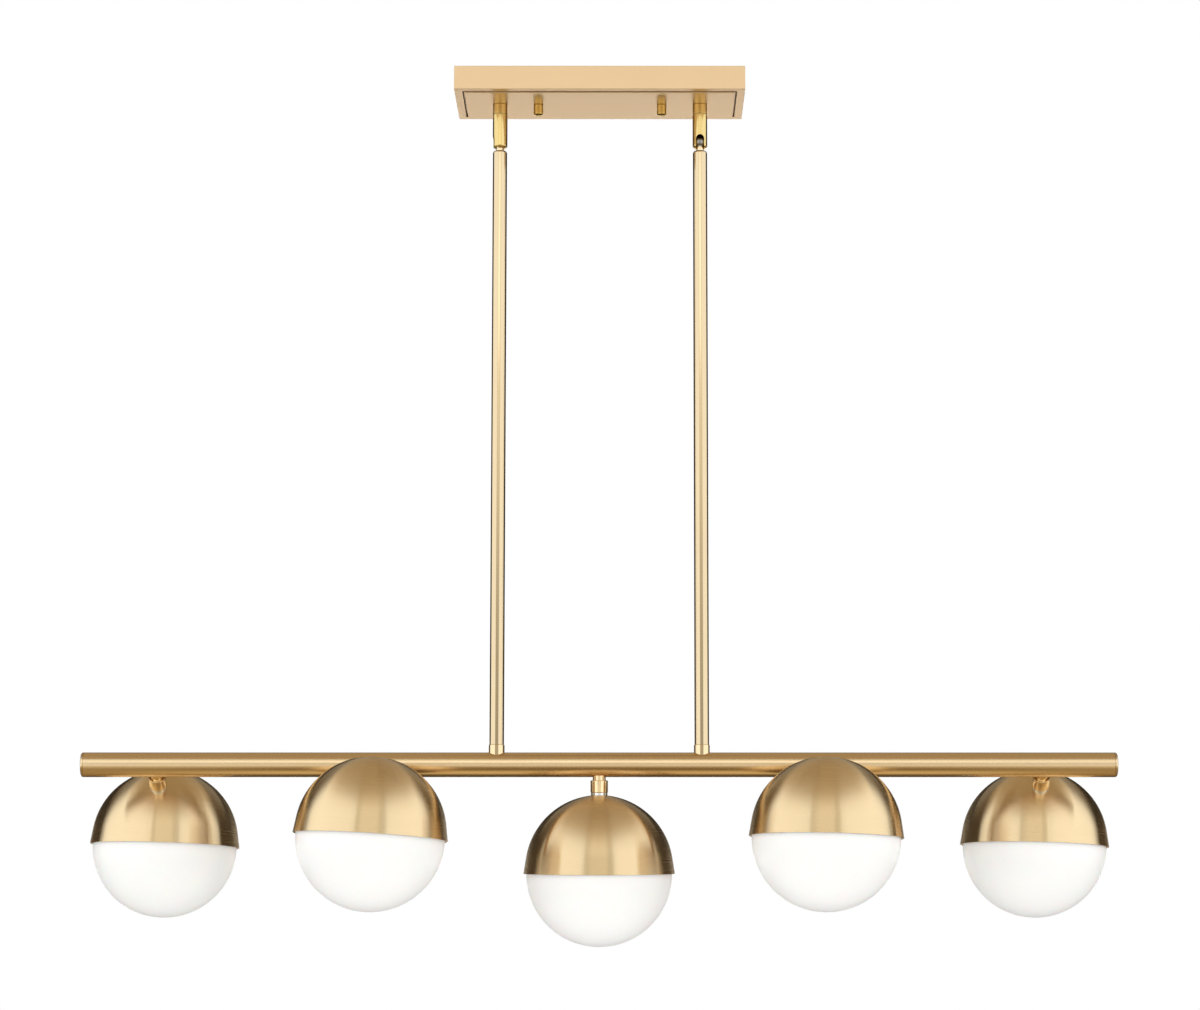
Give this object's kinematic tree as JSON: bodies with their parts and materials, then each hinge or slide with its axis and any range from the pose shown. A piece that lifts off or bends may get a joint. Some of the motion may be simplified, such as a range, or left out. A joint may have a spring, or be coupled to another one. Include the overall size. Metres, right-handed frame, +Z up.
{
  "type": "linear island pendant",
  "caption": "Linear island pendant: a long brass bar hung on down rods from a rectangular ceiling canopy, with opal glass globes under spun brass domes on short arms.",
  "frame": {"origin": "on the ceiling, midway between the mounting strap's two screw slots", "axes": "+X along the bar, to the right seen from the front; -Y to the front; +Z up to the ceiling"},
  "size_m": [1.07, 0.31, 0.9136],
  "materials": {
    "satin_brass": "satin, brushed",
    "polished_brass": "polished",
    "bright_steel": "bright nickel plate",
    "zinc_steel": "zinc plated",
    "ground_green": "green lacquer",
    "opal_glass": "opal white, satin",
    "holder_ceramic": "white, matt",
    "lamp_glass": "frosted"
  },
  "bodies": {
    "canopy_set": {"canopy": "satin_brass", "mounting_strap": "zinc_steel", "strap_studs": "zinc_steel", "stud_locknuts": "zinc_steel", "ground_screw": "ground_green", "swivel_collar_left": "satin_brass", "swivel_collar_right": "satin_brass", "swivel_washers": "zinc_steel", "swivel_locknuts": "zinc_steel"},
    "nut_left": {"canopy_nut_left": "polished_brass"},
    "cup_left": {"swivel_cup_left": "satin_brass"},
    "nut_right": {"canopy_nut_right": "polished_brass"},
    "cup_right": {"swivel_cup_right": "satin_brass"},
    "hanging_frame": {"bar_tube": "satin_brass", "arm_tubes": "polished_brass", "arm_washers": "bright_steel", "arm_locknuts": "zinc_steel", "lamp_brackets": "zinc_steel", "holder_screws": "zinc_steel", "swivel_ball_left": "bright_steel", "rod_left": "satin_brass", "rod_collar_left": "polished_brass", "end_cap_left": "satin_brass", "swivel_ball_right": "bright_steel", "rod_right": "satin_brass", "rod_collar_right": "polished_brass", "end_cap_right": "satin_brass", "arm_collar_1": "polished_brass", "dome_1": "satin_brass", "lamp_holder_1": "holder_ceramic", "lamp_1": "lamp_glass", "arm_collar_2": "polished_brass", "dome_2": "satin_brass", "lamp_holder_2": "holder_ceramic", "lamp_2": "lamp_glass", "arm_collar_3": "polished_brass", "dome_3": "satin_brass", "lamp_holder_3": "holder_ceramic", "lamp_3": "lamp_glass", "arm_collar_4": "polished_brass", "dome_4": "satin_brass", "lamp_holder_4": "holder_ceramic", "lamp_4": "lamp_glass", "arm_collar_5": "polished_brass", "dome_5": "satin_brass", "lamp_holder_5": "holder_ceramic", "lamp_5": "lamp_glass"},
    "glass_bowl_1": {"glass_1": "opal_glass", "glass_ring_1": "zinc_steel"},
    "glass_bowl_2": {"glass_2": "opal_glass", "glass_ring_2": "zinc_steel"},
    "glass_bowl_3": {"glass_3": "opal_glass", "glass_ring_3": "zinc_steel"},
    "glass_bowl_4": {"glass_4": "opal_glass", "glass_ring_4": "zinc_steel"},
    "glass_bowl_5": {"glass_5": "opal_glass", "glass_ring_5": "zinc_steel"}
  },
  "joints": [
    {"name": "nut_turn_left", "type": "hinge", "parent": "canopy_set", "child": "nut_left", "pos_m": [-0.0653, 0, -0.032], "axis": [0, 0, 1], "continuous": true},
    {"name": "nut_turn_right", "type": "hinge", "parent": "canopy_set", "child": "nut_right", "pos_m": [0.0653, 0, -0.032], "axis": [0, 0, 1], "continuous": true},
    {"name": "cup_turn_left", "type": "hinge", "parent": "canopy_set", "child": "cup_left", "pos_m": [-0.1058, 0, -0.055], "axis": [0, 0, 1], "continuous": true},
    {"name": "cup_turn_right", "type": "hinge", "parent": "canopy_set", "child": "cup_right", "pos_m": [0.1058, 0, -0.055], "axis": [0, 0, 1], "continuous": true},
    {"name": "frame_swing", "type": "hinge", "parent": "canopy_set", "child": "hanging_frame", "pos_m": [0, 0, -0.0665], "axis": [1, 0, 0], "range_deg": [-10, 10]},
    {"name": "glass_unlock_1", "type": "hinge", "parent": "hanging_frame", "child": "glass_bowl_1", "pos_m": [-0.4572, 0.07719, -0.80154], "axis": [0.0314, -0.0005, 0.9995], "range_deg": [0, 30]},
    {"name": "glass_unlock_2", "type": "hinge", "parent": "hanging_frame", "child": "glass_bowl_2", "pos_m": [-0.2286, -0.07719, -0.80154], "axis": [0.0577, 0.0016, 0.9983], "range_deg": [0, 30]},
    {"name": "glass_unlock_3", "type": "hinge", "parent": "hanging_frame", "child": "glass_bowl_3", "pos_m": [0, 0.00711, -0.83406], "axis": [0, -0.0663, 0.9978], "range_deg": [0, 30]},
    {"name": "glass_unlock_4", "type": "hinge", "parent": "hanging_frame", "child": "glass_bowl_4", "pos_m": [0.2286, -0.07719, -0.80154], "axis": [0.0226, 0.0002, 0.9997], "range_deg": [0, 30]},
    {"name": "glass_unlock_5", "type": "hinge", "parent": "hanging_frame", "child": "glass_bowl_5", "pos_m": [0.4572, 0.07719, -0.80154], "axis": [0.0276, -0.0004, 0.9996], "range_deg": [0, 30]}
  ]
}
